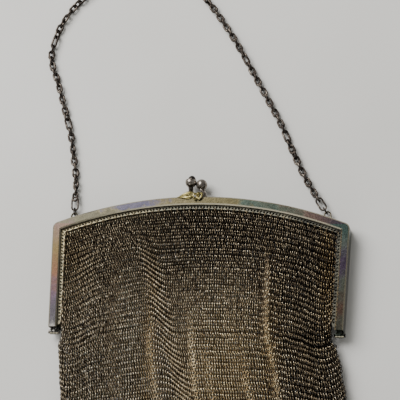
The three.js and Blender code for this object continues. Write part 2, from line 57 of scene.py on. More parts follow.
# Pierced rails inside the bars
RAIL_TUCK = 2.1
RAIL_OUTER = 5.9
RAIL_TOP = MEETING_HEIGHT + 2.95
RAIL_THICKNESS = 0.6
RAIL_ARM = 50.0
HOLE_INSET = 5.0
HOLE_RADIUS = 0.52
HOLE_PITCH = 1.6
HOLE_SIDES = 16
RAIL_RING_TUBE = 0.16
RAIL_RING_SWING = 30.0
RAIL_RING_SWING_SPREAD = 6.0
RAIL_RING_WEAR = 0.45
RAIL_RING_WEAR_SPREAD = 0.12
RAIL_RING_GILT = 0.2

# Clasp: feet on the arch, balls and the cast leaf
FRONT_FOOT = 1.2
BACK_FOOT = -6.2
FRONT_BALL = (-0.9, ARCH_RISE + 7.5, MEETING_HEIGHT)
BACK_BALL = (-6.4, ARCH_RISE + 8.9, MEETING_HEIGHT)
BALL_RADIUS = 2.85
FRONT_BALL_TOP = 0.999 * BALL_RADIUS
BACK_BALL_TOP = 1.1
STEM_RADIUS = 1.3
STEM_FOOT_RADIUS = 1.1
COLLAR_RADIUS = 1.6
COLLAR_LENGTH = 0.6
COLLAR_EDGE = 0.12
COLLAR_EDGE_SHARE = 0.9
STEM_BOW = 1.5
# The back ball's cap is a dark piece in place of the dark reflection on top of a polished ball: a
# painted reflection
CAP_OFF = 0.4
CAP_RADIUS = 2.0
CAP_HEIGHT = 2.3
LEAF_TIP = (-12.0, 13.6)
LEAF_LENGTH = 9.4
LEAF_WIDTH = 4.4
LEAF_LEAN = 0.2

# Bag
BAG_DROP = 130.0
BAG_THICKNESS = 9.2
BAG_FOOT_THICKNESS = 4.4
BAG_EDGE_ROUND = 6.0
BAG_CORNER_ROUND = 14.0
BAG_INSET = RAIL_OUTER + GAP
MOUTH_HEIGHT = 3.15
MOUTH_SHARE = 0.15
FOOT_START = 0.85
FOLD_HEIGHT = 1.2
FOLD_GROWTH = 0.25
BULGE = 10.0
BULGE_START = ARM_LENGTH + GAP + 1.3 + 1.3 + GAP

# Folds of the front wall: where across, how far it leans by the foot, half width, height as a
# share of FOLD_HEIGHT, and where down the bag it begins
FOLDS = [
    (0.05, 0.02, 0.05, -0.5, 0.1),
    (0.20, 0.03, 0.08, 0.6, 0.05),
    (0.33, 0.04, 0.035, 0.8, 0.1),
    (0.39, 0.05, 0.045, -0.9, 0.0),
    (0.50, 0.02, 0.07, 0.8, 0.1),
    (0.60, 0.02, 0.05, -0.5, 0.2),
    (0.67, 0.03, 0.04, 0.6, 0.2),
    (0.78, 0.05, 0.035, 1.0, 0.05),
    (0.85, 0.05, 0.045, -0.9, 0.1),
    (0.94, 0.02, 0.045, 0.5, 0.15),
]

# Pleats too fine for the solid, in the same columns, with their height in millimetres
PLEATS = [
    (0.195, 0.02, 0.022, 0.6, 0.0),
    (0.260, 0.26, 0.020, -0.7, 0.0),
    (0.312, 0.06, 0.014, 1.3, 0.3),
    (0.475, 0.03, 0.011, 1.1, 0.28),
    (0.525, 0.03, 0.010, 0.7, 0.36),
    (0.645, 0.05, 0.011, 1.0, 0.40),
    (0.752, 0.05, 0.014, 1.9, 0.05),
    (0.785, 0.05, 0.016, -1.0, 0.0),
    (0.880, 0.03, 0.014, 0.5, 0.25),
]

# Side edges of the bag below the arms: share of the drop, left and right as shares of BULGE
SIDES = [
    (0.0, 0.0, 0.0),
    (0.06, 0.14, 0.28),
    (0.2, 0.02, 0.55),
    (0.4, -0.16, 0.82),
    (0.7, -0.26, 0.95),
    (1.0, -0.3, 1.0),
]

# Where the rows of rings climb or fall across the front: middle of the step at the mouth, how
# far it leans by the foot, its half width and its rise in millimetres
ROW_STEPS = [
    (0.07, 0.0, 0.08, 6.5),
    (0.22, 0.1, 0.10, 2.5),
    (0.275, 0.25, 0.06, -9.0),
    (0.60, 0.0, 0.20, 1.5),
    (0.93, 0.0, 0.06, -4.5),
]
ROW_START = -4.0

# Ring mesh: wire rings, their pitch along a row, the rows and how the rings lean
RING_RADIUS = 0.91
RING_TUBE = 0.25
RING_COLUMNS = 122
RING_ROWS = 90
ROW_TOP = 1.42
ROW_FOOT = 1.65
RING_LEAN = 54.0
CREST_LEAN = 10.0
ROW_SLACK = 0.1
ORDERED = 3.0
JUMBLED = 11.0
SLIP = 0.008
GRID_STEPS = 1201
SLACK_KNOTS = 25
ROW_OFFSET = 0.2
FRONT_INSET = 0.5
BACK_INSET = 1.05
FIRST_ROW = 1.0

# Tones of the rings, as soft patches in the frame maker's millimetres: middle x and y, reach
# across and down, and strength. A patch makes its rings brighter or darker, the band along the
# top being painted shade under the arch, and gilded ones keep a golden tarnish. A plain ring
# has the wear WEAR. The side of a ring that stands out of the sheet is brighter by
# RUB_AND_HIGHLIGHT, partly rubbed and partly a painted highlight, and its other sides are darker
# by UNRUBBED_SHADE of that, a painted shade.
WEAR = 0.24
WEAR_SPREAD = 0.1
RUB_AND_HIGHLIGHT = 0.75
UNRUBBED_SHADE = 0.2
# Rings on pleat crests are brighter by CREST_WEAR_AND_HIGHLIGHT, partly rubbed and partly a
# painted highlight, and more golden by CREST_GILT
CREST_WEAR_AND_HIGHLIGHT = 0.3
CREST_GILT = 0.1
TONE_PATCHES = [
    (-38.0, -70.0, 30.0, 70.0, 0.10),
    (13.0, -74.0, 34.0, 54.0, 0.31),
    (58.0, -60.0, 16.0, 70.0, -0.13),
    # Painted shade: the band of rings under the arch is darkened
    (0.0, 0.0, 100.0, 35.0, -0.19),
    (45.0, -35.0, 25.0, 25.0, -0.06),
    (61.0, -56.0, 6.0, 5.0, -0.25),
]
GILDED = [
    (18.0, -80.0, 26.0, 45.0, 0.55),
    (65.0, -22.0, 4.5, 32.0, 0.7),
    (-22.0, -80.0, 4.0, 60.0, 0.4),
    (38.0, -85.0, 4.0, 70.0, 0.25),
    (-64.0, -15.0, 8.0, 20.0, 0.3),
]

# Where the rings still lie in order, so that their rows show; elsewhere they are jumbled
ORDERLY = [
    (-24.0, -22.0, 10.0, 20.0, 0.9),
    (-18.0, -62.0, 14.0, 30.0, 1.0),
    (10.0, -85.0, 34.0, 36.0, 0.8),
    (-62.0, -40.0, 9.0, 30.0, 0.7),
    (58.0, -50.0, 9.0, 18.0, 0.15),
]

# Chain eyes, the rings in them, the long end links and the chain, outer sizes
EYE_AT = {-1: -66.0, 1: 63.0}
EYE_RADIUS = 1.6
EYE_LEG = 2.75
EYE_WIRE = 0.9
EYE_HEIGHT = 2.5
RING_WIRE = 0.7
RING_BORE = 3.0
END_LENGTH = 7.8
END_WIDTH = 4.1
END_WIRE = 0.9
LINK_LENGTH = 5.55
LINK_WIDTH = 3.7
LINK_WIRE = 1.15
LONG_LINK = 7.6
LONG_EVERY = 14
FIRST_LONG = 12
LINK_ROLL_SPREAD = 0.25
CHAIN_HEIGHT = 1.85
CHAIN_ROUTE = [
    (-66.8, 23.4), (-67.6, 30.4), (-69.2, 38.7), (-71.7, 51.2), (-74.8, 61.0), (-77.9, 70.6),
    (-81.1, 80.5), (-84.2, 88.1), (-85.1, 94.8), (-83.7, 102.0), (-81.4, 109.5),
    (-77.7, 116.5), (-72.5, 123.0), (-64.6, 130.2), (-52.1, 136.9), (-36.7, 139.8),
    (-21.5, 136.6), (-10.4, 129.8), (-2.1, 120.6), (9.1, 104.7), (15.2, 94.8), (21.2, 84.1),
    (31.1, 66.5), (37.3, 55.3), (44.2, 40.2), (48.8, 30.6), (53.3, 22.4),
]

rng = np.random.default_rng(7)


# Small tools

def smoothstep(value, low, high):
    share = np.clip((value - low) / (high - low), 0, 1)
    return share * share * (3 - 2 * share)


def from_table(table, column, at):
    """A table's column at some places, with a smooth step between its rows."""
    places = np.array([row[0] for row in table])
    values = np.array([row[column] for row in table])
    after = np.clip(np.searchsorted(places, at), 1, len(places) - 1)
    share = smoothstep(at, places[after - 1], places[after])
    return values[after - 1] + (values[after] - values[after - 1]) * share


def unit(vectors):
    return vectors / np.linalg.norm(vectors, axis=-1, keepdims=True)


def settle(piece, name, material, replaces=()):
    """Brings a finished piece to metres in the row frame and hands it to the frame."""
    piece.name = name
    piece.data.name = name
    to_row = Matrix.Scale(0.001, 4) @ Matrix.Translation((0, ROW_ORIGIN, 0))
    piece.data.transform(to_row @ piece.matrix_world)
    piece.matrix_world = Matrix.Identity(4)
    piece.data.materials.clear()
    piece.data.materials.append(material)
    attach(piece, "root")
    if replaces:
        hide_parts(*replaces)
    return piece


def select_none():
    if bpy.context.object and bpy.context.object.mode != "OBJECT":
        bpy.ops.object.mode_set(mode="OBJECT")
    bpy.ops.object.select_all(action="DESELECT")


def points_of(piece):
    points = np.zeros(len(piece.data.vertices) * 3)
    piece.data.vertices.foreach_get("co", points)
    return points.reshape(-1, 3)


def set_points(piece, points):
    piece.data.vertices.foreach_set("co", np.asarray(points).ravel())
    piece.data.update()


def model_of(piece):
    """Points and four-sided faces of a modelled piece, which is then put away."""
    points = points_of(piece)
    faces = np.array([list(polygon.vertices) for polygon in piece.data.polygons])
    bpy.data.objects.remove(piece)
    return points, faces


def copies(name, model, turns, places):
    """One mesh of many copies of a modelled piece, each turned and put in its place."""
    points, faces = model
    all_points = np.einsum("cij,nj->cni", turns, points) + places[:, None, :]
    first = np.arange(len(places)) * len(points)
    all_faces = (faces[None] + first[:, None, None]).reshape(-1, faces.shape[1])
    mesh = bpy.data.meshes.new(name)
    mesh.vertices.add(all_points.shape[0] * all_points.shape[1])
    mesh.vertices.foreach_set("co", all_points.ravel())
    mesh.loops.add(all_faces.size)
    mesh.loops.foreach_set("vertex_index", all_faces.ravel())
    mesh.polygons.add(len(all_faces))
    mesh.polygons.foreach_set("loop_start", np.arange(len(all_faces)) * faces.shape[1])
    mesh.polygons.foreach_set("use_smooth", np.ones(len(all_faces), bool))
    mesh.update(calc_edges=True)
    mesh.validate()
    piece = bpy.data.objects.new(name, mesh)
    bpy.context.scene.collection.objects.link(piece)
    return piece


def paint(piece, name, values):
    """Gives a piece a named attribute, with a row of values for each copy in it."""
    layer = piece.data.attributes.new(name, "FLOAT", "POINT")
    points = len(piece.data.vertices) // len(values)
    layer.data.foreach_set("value", np.clip(values + np.zeros(points), 0, 1).ravel())


def joined(pieces):
    select_none()
    for piece in pieces:
        piece.select_set(True)
    bpy.context.view_layer.objects.active = pieces[0]
    bpy.ops.object.join()
    return pieces[0]


def finish_with(piece, kind, **settings):
    """Applies one modifier to a piece."""
    select_none()
    piece.select_set(True)
    bpy.context.view_layer.objects.active = piece
    modifier = piece.modifiers.new(kind, kind)
    for name, value in settings.items():
        setattr(modifier, name, value)
    bpy.ops.object.modifier_apply(modifier=modifier.name)


def outward_normals(piece):
    bpy.context.view_layer.objects.active = piece
    bpy.ops.object.mode_set(mode="EDIT")
    bpy.ops.mesh.select_all(action="SELECT")
    bpy.ops.mesh.normals_make_consistent(inside=False)
    bpy.ops.object.mode_set(mode="OBJECT")


# Lines of the frame

def arch_y(x, inset=0.0):
    return ARCH_CENTRE + np.sqrt((ARCH_RADIUS - inset) ** 2 - np.square(x))


def arm_line(inset):
    down = unit(np.array([ARM_TAPER, -ARM_LENGTH]))
    inward = np.array([-down[1], down[0]])
    return np.array([-FRAME_WIDTH / 2, 0]) + inward * inset, down, inward


def outline(inset, arm_end, arch_steps=60, corner_steps=3, arm_steps=12):
    """The frame's outline, inset: up the left arm, over the arch and down the right arm."""
    start, down, inward = arm_line(inset + INNER_CORNER)
    to_centre = start - np.array([0, ARCH_CENTRE])
    reach = ARCH_RADIUS - inset - INNER_CORNER
    b = to_centre @ down
    corner = start + down * (-b - np.sqrt(b * b - to_centre @ to_centre + reach * reach))
    radial = unit(corner - np.array([0, ARCH_CENTRE]))
    turn_from = np.arctan2(-inward[1], -inward[0]) % (2 * np.pi)
    turn_to = np.arctan2(radial[1], radial[0])
    bend = np.linspace(turn_from, turn_to, corner_steps + 1)
    bent = corner + INNER_CORNER * np.stack([np.cos(bend), np.sin(bend)], axis=1)
    arm_start = arm_line(inset)[0] + down * arm_end
    arm_shares = np.linspace(0, 1, arm_steps, endpoint=False)[:, None]
    arm = arm_start + (bent[0] - arm_start) * arm_shares
    sweep = np.linspace(turn_to, np.pi - turn_to, arch_steps + 1)[1:-1]
    arch = np.stack([np.cos(sweep), np.sin(sweep)], axis=1) * (ARCH_RADIUS - inset)
    arch[:, 1] += ARCH_CENTRE
    left = np.concatenate([arm, bent])
    right = (left * [-1, 1])[::-1]
    return np.concatenate([left, arch, right])


def along(line, count, offset=0.5):
    """Places at an even pitch along a line, and the way it runs there. What the line carries
    beside x, y and z is read off at the same places."""
    steps = np.linalg.norm(np.diff(line[:, :3], axis=0), axis=1)
    run = np.concatenate([[0], np.cumsum(steps)])
    at = (np.arange(count) + offset) / count * run[-1]
    places = np.stack([np.interp(at, run, line[:, i]) for i in range(line.shape[1])], axis=1)
    segment = np.clip(np.searchsorted(run, at) - 1, 0, len(steps) - 1)
    return places, np.diff(line, axis=0)[segment] / steps[segment][:, None]


# Form of the bag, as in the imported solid

MOUTH_HALF = abs(arm_line(BAG_INSET)[0][0])
MOUTH_END_Y = arch_y(MOUTH_HALF, BAG_INSET)


def folds_at(table, across, down, scale):
    height = np.zeros(np.broadcast(across, down).shape)
    for at, lean, half, rise, start in table:
        off = (across - at - lean * down) / half
        grow = smoothstep(down, start, start + FOLD_GROWTH)
        height += scale * rise * grow * np.exp(-off * off)
    return height


def bag_edge(y, side):
    by_rail = MOUTH_HALF - ARM_TAPER * np.minimum(-y, BULGE_START) / ARM_LENGTH
    below = np.maximum(0, (-y - BULGE_START) / (BAG_DROP - BULGE_START))
    return side * (by_rail + BULGE * from_table(SIDES, 1 if side < 0 else 2, below))


def foot_y(place, width):
    off = np.maximum(0, 1 - np.minimum(place, width - place) / BAG_CORNER_ROUND)
    return -BAG_DROP + BAG_CORNER_ROUND * (1 - np.sqrt(1 - off * off))


def bag_points(across, down, front, inset):
    """Places on the middle of a wall, and how it closes at the sides and at the foot."""
    edge_y = MOUTH_END_Y + (BAG_CORNER_ROUND - BAG_DROP - MOUTH_END_Y) * down
    left = bag_edge(edge_y, -1) + inset
    right = bag_edge(edge_y, 1) - inset
    x = left + (right - left) * across
    mouth_x = MOUTH_HALF * (2 * across - 1)
    mouth_y = arch_y(mouth_x, BAG_INSET)
    y = mouth_y + (foot_y(across * (right - left), right - left) - mouth_y) * down
    edge = np.minimum(across, 1 - across) * (right - left)
    below_arms = smoothstep(-y, ARM_LENGTH - BAG_EDGE_ROUND, ARM_LENGTH + BAG_EDGE_ROUND)
    from_edge = np.minimum(1, edge / (BAG_EDGE_ROUND - inset))
    round_off = 1 - below_arms * (1 - np.sqrt(1 - (1 - from_edge) ** 2))
    from_foot = np.minimum(1, (1 - down) * BAG_DROP / (BAG_FOOT_THICKNESS / 2))
    round_off = round_off * np.sqrt(1 - (1 - from_foot) ** 2)
    foot = smoothstep(down, FOOT_START, 1)
    full = BAG_THICKNESS + (BAG_FOOT_THICKNESS - BAG_THICKNESS) * foot
    beside_arms = (1 - np.minimum(1, edge / (2 * BAG_EDGE_ROUND))) * (1 - below_arms)
    at_rail = np.maximum(1 - smoothstep(down, 0, MOUTH_SHARE), beside_arms)
    loose = full + folds_at(FOLDS, across, down, FOLD_HEIGHT) * (1 - foot / 2)
    loose = loose + folds_at(PLEATS, across, down, 1.0) * (1 - foot)
    low = (MEETING_HEIGHT - MOUTH_HEIGHT) * at_rail + inset
    high = loose + (MEETING_HEIGHT + MOUTH_HEIGHT - loose) * at_rail - inset
    seam = (low + high) / 2
    z = seam + ((high if front else low) - seam) * round_off
    return np.stack([x, y, z], axis=-1)


# Ring mesh

def row_share(row):
    """How far down the bag a row lies. The rows open out towards the foot."""
    whole = RING_ROWS * (ROW_TOP + ROW_FOOT) / 2
    drop = row * ROW_TOP + (ROW_FOOT - ROW_TOP) * row ** 2 / (2 * RING_ROWS)
    first = FIRST_ROW / BAG_DROP
    return first + (1 - first) * drop / whole


def row_lift(across, share):
    """How far a row of the front is pulled up, in millimetres."""
    lift = np.full(across.shape, ROW_START)
    for at, lean, half, rise in ROW_STEPS:
        middle = at + lean * share
        lift += rise * smoothstep(across, middle - half, middle + half)
    return lift * smoothstep(share, 0, 0.22) * (1 - smoothstep(share, 0.8, 1))


def ring_grid(front):
    """Places of the rings: a grid of rows by half columns, evenly spaced along each row, with
    each place's share across and down the bag."""
    across = np.linspace(0, 1, GRID_STEPS)
    knots = np.linspace(0, 1, SLACK_KNOTS)
    rows = []
    for row in range(RING_ROWS):
        share = row_share(row + ROW_OFFSET)
        slack = np.interp(across, knots, rng.normal(0, ROW_SLACK, SLACK_KNOTS))
        lift = row_lift(across, share) * front + slack * smoothstep(share, 0, 0.1)
        down = np.clip(share - lift / BAG_DROP, 0, 1)
        path = bag_points(across, down, front, FRONT_INSET if front else BACK_INSET)
        carried = np.stack([across, down], axis=1)
        rows.append(along(np.concatenate([path, carried], axis=1), 2 * RING_COLUMNS)[0])
    return np.array(rows)


def wire_ring(major, tube, major_sides, tube_sides):
    select_none()
    bpy.ops.mesh.primitive_torus_add(
        major_radius=major, minor_radius=tube,
        major_segments=major_sides, minor_segments=tube_sides)
    return bpy.context.object


def ring_turns(along_row, down_column, lean, twist):
    """Each ring stands in its column's line and leans about it."""
    upward = -unit(down_column)
    across = unit(along_row - np.sum(along_row * upward, axis=-1, keepdims=True) * upward)
    outward = np.cross(across, upward)
    lean = np.radians(lean)[:, None]
    side = across * np.cos(lean) + outward * np.sin(lean)
    twist = np.radians(twist)[:, None]
    standing = unit(upward * np.cos(twist) + side * np.sin(twist))
    side = unit(side - np.sum(side * standing, axis=-1, keepdims=True) * standing)
    return np.stack([side, standing, np.cross(side, standing)], axis=-1)


def soft_patches(table, x, y):
    tone = np.zeros(np.shape(x))
    for middle_x, middle_y, reach_x, reach_y, strength in table:
        off = ((x - middle_x) / reach_x) ** 2 + ((y - middle_y) / reach_y) ** 2
        tone += strength * np.exp(-off)
    return tone


def mesh_panels(front, material, count, major_sides):
    """The front or back sheet of linked rings, in panels side by side."""
    grid = ring_grid(front)
    row_way = np.gradient(grid[..., :3], axis=1)
    column_way = np.gradient(grid[..., :3], axis=0)
    crests = [pleat for pleat in PLEATS if pleat[3] > 0]
    crest = np.clip(folds_at(crests, grid[..., 3], grid[..., 4], 1.0), 0, 1) * front
    ring = model_of(wire_ring(RING_RADIUS, RING_TUBE, major_sides, 3))
    for panel in range(count):
        places, turns, wear_and_light, gilt = [], [], [], []
        for row in range(RING_ROWS):
            columns = np.arange(row % 2, 2 * RING_COLUMNS, 2)
            mine = columns[columns * count // (2 * RING_COLUMNS) == panel]
            here, raised = grid[row, mine], crest[row, mine]
            order = np.clip(soft_patches(ORDERLY, here[:, 0], here[:, 1]), 0, 1)
            jumble = JUMBLED + (ORDERED - JUMBLED) * order
            lean = RING_LEAN + (CREST_LEAN - RING_LEAN) * raised
            lean += rng.normal(0, jumble, len(mine))
            lean = lean if row % 2 else -lean
            twist = rng.normal(0, jumble, len(mine))
            slips = rng.normal(0, SLIP, (len(mine), 3)) * jumble[:, None]
            places.append(here[:, :3] + slips)
            turns.append(ring_turns(row_way[row, mine], column_way[row, mine], lean, twist))
            tone = soft_patches(TONE_PATCHES, here[:, 0], here[:, 1]) + CREST_WEAR_AND_HIGHLIGHT * raised
            wear_and_light.append(WEAR + tone + rng.normal(0, WEAR_SPREAD, len(mine)))
            gilt.append(soft_patches(GILDED, here[:, 0], here[:, 1]) + CREST_GILT * raised)
        name = f"mesh_{'front' if front else 'back'}_{panel + 1}"
        turns, wear_and_light = np.concatenate(turns), np.concatenate(wear_and_light)
        # Painted highlight and shade: each ring's outward side is made brighter, its other sides
        # darker
        height = (turns @ ring[0].T)[:, 2] / RING_RADIUS * (1 if front else -1)
        rub_and_highlight = RUB_AND_HIGHLIGHT * (np.maximum(0, height) ** 2 - UNRUBBED_SHADE)
        piece = copies(name, ring, turns, np.concatenate(places))
        paint(piece, "wear_and_light", wear_and_light[:, None] + rub_and_highlight)
        paint(piece, "gilt", np.concatenate(gilt)[:, None])
        settle(piece, name, material, ["mesh_bag"])
        lay_flat_map(piece)


def lay_flat_map(piece):
    """A map seen from above, for the whole sheet of rings."""
    layer = piece.data.uv_layers.new(name="OFBake")
    points = points_of(piece)
    low = points.min(axis=0)
    size = (points.max(axis=0) - low).max()
    corners = np.zeros(len(piece.data.loops), int)
    piece.data.loops.foreach_get("vertex_index", corners)
    flat = (points[corners][:, :2] - low[:2]) / size
    layer.data.foreach_set("uv", flat.ravel())


# Pierced rails

def rail_height(front):
    height = RAIL_TOP - RAIL_THICKNESS / 2
    return height if front else 2 * MEETING_HEIGHT - height


def pierced_cell(pitch):
    """One cell of the strip: a hole in a plate as wide as the rail, its middle line at y 0."""
    select_none()
    bpy.ops.mesh.primitive_circle_add(vertices=HOLE_SIDES, radius=HOLE_RADIUS)
    cell = bpy.context.object
    bpy.ops.object.mode_set(mode="EDIT")
    bpy.ops.mesh.select_all(action="SELECT")
    bpy.ops.mesh.extrude_region_move()
    bpy.ops.transform.resize(value=(2, 2, 1))
    bpy.ops.object.mode_set(mode="OBJECT")
    points = points_of(cell)
    rim = np.linalg.norm(points[:, :2], axis=1) > 1.5 * HOLE_RADIUS
    square = points[rim] / np.abs(points[rim][:, :2]).max(axis=1)[:, None]
    square[:, 0] *= pitch / 2
    square[:, 1] *= np.where(square[:, 1] > 0, RAIL_OUTER - HOLE_INSET, HOLE_INSET - RAIL_TUCK)
    points[rim] = square
    points[:, 0] += pitch / 2
    set_points(cell, points)
    return cell


def pierced_rail(name, front, material):
    """A strip of pierced cells, bent to the frame's outline and given its thickness."""
    inner = outline(RAIL_TUCK, RAIL_ARM)
    outer = outline(RAIL_OUTER, RAIL_ARM)
    steps = np.linalg.norm(np.diff(outline(HOLE_INSET, RAIL_ARM), axis=0), axis=1)
    run = np.concatenate([[0], np.cumsum(steps)])
    count = int(run[-1] / HOLE_PITCH)
    pitch = run[-1] / count
    strip = pierced_cell(pitch)
    finish_with(
        strip, "ARRAY", count=count, use_relative_offset=False, use_constant_offset=True,
        constant_offset_displace=(pitch, 0, 0), use_merge_vertices=True, merge_threshold=0.01)
    points = points_of(strip)
    at = np.interp(points[:, 0], run, np.arange(len(run)))
    share = (points[:, 1] + HOLE_INSET - RAIL_TUCK) / (RAIL_OUTER - RAIL_TUCK)
    knots = np.arange(len(run))
    flat = np.stack([
        np.interp(at, knots, inner[:, i]) * (1 - share) + np.interp(at, knots, outer[:, i]) * share
        for i in (0, 1)
    ])
    half = (RAIL_OUTER - RAIL_TUCK) / 2
    tongue = np.sqrt(np.maximum(0, half ** 2 - (half * (2 * share - 1)) ** 2))
    at_end = (points[:, 0] < 0.01) | (points[:, 0] > run[-1] - 0.01)
    flat[1] -= tongue * at_end
    set_points(strip, np.stack([*flat, np.full(len(points), rail_height(front))], axis=1))
    finish_with(strip, "SOLIDIFY", thickness=RAIL_THICKNESS, offset=0)
    outward_normals(strip)
    settle(strip, name, material, ["rail_front" if front else "rail_back"])


def rail_rings(name, front, material):
    """The row of rings that hangs the mesh from the rail's holes."""
    line = outline(HOLE_INSET, RAIL_ARM)
    count = int(np.linalg.norm(np.diff(line, axis=0), axis=1).sum() / HOLE_PITCH)
    places, ways = along(line, count)
    inward = np.stack([ways[:, 1], -ways[:, 0]], axis=1)
    turned = np.where(np.arange(count) % 2, 1, -1)
    swing = np.radians(
        RAIL_RING_SWING + rng.normal(0, RAIL_RING_SWING_SPREAD, count)) * turned
    flat = inward * np.cos(swing)[:, None] + ways * np.sin(swing)[:, None]
    side = np.concatenate([flat, np.zeros((count, 1))], axis=1)
    upward = np.tile([0.0, 0.0, 1.0], (count, 1))
    turns = np.stack([side, upward, np.cross(side, upward)], axis=-1)
    holes = np.concatenate([places, np.full((count, 1), rail_height(front))], axis=1)
    centres = holes + side * (RING_RADIUS + HOLE_RADIUS - RAIL_RING_TUBE)
    ring = model_of(wire_ring(RING_RADIUS, RAIL_RING_TUBE, 10, 4))
    piece = copies(name, ring, turns, centres)
    paint(piece, "wear_and_light", rng.normal(RAIL_RING_WEAR, RAIL_RING_WEAR_SPREAD, (count, 1)))
    paint(piece, "gilt", np.full((count, 1), RAIL_RING_GILT))
    settle(piece, name, material)


# Clasp

def drawn_out(levels, sides):
    """A turned form: a disc drawn out along Y and resized from one level to the next."""
    (centre, radius), *rest = levels
    select_none()
    bpy.ops.mesh.primitive_circle_add(
        vertices=sides, radius=radius, fill_type="NGON", location=centre,
        rotation=(-np.pi / 2, 0, 0))
    piece = bpy.context.object
    bpy.ops.object.transform_apply(location=True, rotation=True, scale=True)
    bpy.ops.object.mode_set(mode="EDIT")
    bpy.ops.mesh.select_all(action="SELECT")
    for next_centre, next_radius in rest:
        step = Vector(next_centre) - Vector(centre)
        bpy.ops.mesh.extrude_region_move(TRANSFORM_OT_translate={"value": step})
        bpy.ops.transform.resize(
            value=[next_radius / radius] * 3, center_override=next_centre)
        centre, radius = next_centre, next_radius
    bpy.ops.object.mode_set(mode="OBJECT")
    outward_normals(piece)
    bpy.ops.object.shade_smooth_by_angle(angle=np.radians(35))
    return piece


def ball_stud(name, foot, height, ball, top, bow, material, replaces):
    """A collar at the bar, a tapered bent stem and the ball, cut flat at its top."""
    ball = np.array(ball)
    base = np.array([foot, arch_y(foot) + GAP, height])
    start = base + [0, COLLAR_LENGTH, 0]
    edge, narrow = np.array([0, COLLAR_EDGE, 0]), COLLAR_EDGE_SHARE * COLLAR_RADIUS
    levels = [
        (base, narrow), (base + edge, COLLAR_RADIUS),
        (start - edge, COLLAR_RADIUS), (start, narrow)]
    neck = np.arcsin(STEM_RADIUS / BALL_RADIUS)
    joint = ball - [0, BALL_RADIUS * np.cos(neck), 0]
    control = (start + joint) / 2 + [bow, 0, 0]
    for share in np.linspace(0.02, 1, 9):
        curve = (1 - share) ** 2 * start + 2 * share * (1 - share) * control + share ** 2 * joint
        levels.append((curve, STEM_FOOT_RADIUS + (STEM_RADIUS - STEM_FOOT_RADIUS) * share))
    for turn in np.linspace(neck, np.arccos(-top / BALL_RADIUS), 14)[1:]:
        levels.append((ball - [0, BALL_RADIUS * np.cos(turn), 0], BALL_RADIUS * np.sin(turn)))
    settle(drawn_out([(tuple(c), float(r)) for c, r in levels], 24),
           name, material, replaces)


def dark_reflection_cap(material):
    """A dark domed cap on the back ball, like the cup of an acorn, standing in for the dark
    reflection on the ball's top: a painted reflection.
    """
    x, y, z = BACK_BALL
    x, base = x + CAP_OFF, y + BACK_BALL_TOP
    levels = [((x, base - 0.3, z), 0.9 * CAP_RADIUS), ((x, base, z), CAP_RADIUS)]
    for turn in np.linspace(0, np.pi / 2 - 0.04, 8)[1:]:
        height = base + CAP_HEIGHT * float(np.sin(turn))
        levels.append(((x, height, z), CAP_RADIUS * float(np.cos(turn))))
    settle(drawn_out(levels, 24), "clasp_dark_reflection_cap", material)


def leaf_curl(radius, tube, place, turn, stretch):
    """One curl of the cast leaf: a ring drawn out across and along, and turned in its place."""
    curl = wire_ring(radius, tube, 24, 10)
    curl.data.transform(
        Matrix.Translation(place) @ Euler(turn).to_matrix().to_4x4()
        @ Matrix.Diagonal((*stretch, 1, 1)))
    return curl


def clasp_leaf(material):
    """The cast leaf over the bar's edge, with two curls and the knob at the stud's foot."""
    select_none()
    bpy.ops.mesh.primitive_grid_add(x_subdivisions=28, y_subdivisions=12, size=1)
    leaf = bpy.context.object
    points = points_of(leaf)
    length, side = points[:, 0] + 0.5, 2 * points[:, 1]
    half = LEAF_WIDTH / 2 * np.sin(np.pi * np.clip(length, 0.02, 0.97) ** 1.5) ** 0.75
    vein = 0.16 * np.cos(3 * np.pi * side) * np.sin(np.pi * length)
    dome = 0.75 * (1 - side ** 2) * np.sin(np.pi * length) ** 0.7
    droop = 0.5 * np.maximum(0, side) ** 2
    along_leaf, off_leaf = length * LEAF_LENGTH, side * half
    set_points(leaf, np.stack([
        LEAF_TIP[0] + along_leaf * np.cos(LEAF_LEAN) - off_leaf * np.sin(LEAF_LEAN),
        LEAF_TIP[1] + along_leaf * np.sin(LEAF_LEAN) + off_leaf * np.cos(LEAF_LEAN),
        FRAME_HEIGHT + 0.45 + dome + vein - droop], axis=1))
    finish_with(leaf, "SOLIDIFY", thickness=0.4, offset=-1)
    near_leaf = leaf_curl(
        1.0, 0.45, (-2.7, 13.8, FRAME_HEIGHT + 1.0), (0.1, 0.45, 0.2), (0.9, 1.45))
    near_foot = leaf_curl(
        1.15, 0.55, (-0.3, 14.1, FRAME_HEIGHT + 0.8), (0.1, -0.5, -0.5), (0.9, 1.3))
    select_none()
    bpy.ops.mesh.primitive_uv_sphere_add(
        segments=20, ring_count=12, radius=1.15, location=(-1.1, 15.1, FRAME_HEIGHT + 0.7))
    bpy.ops.object.transform_apply(location=True, rotation=True, scale=True)
    knob = bpy.context.object
    whole = joined([leaf, near_leaf, near_foot, knob])
    finish_with(whole, "REMESH", mode="VOXEL", voxel_size=0.12, use_smooth_shade=True)
    finish_with(whole, "SMOOTH", factor=0.5, iterations=2)
    settle(whole, "clasp_leaf", material)


# Chain

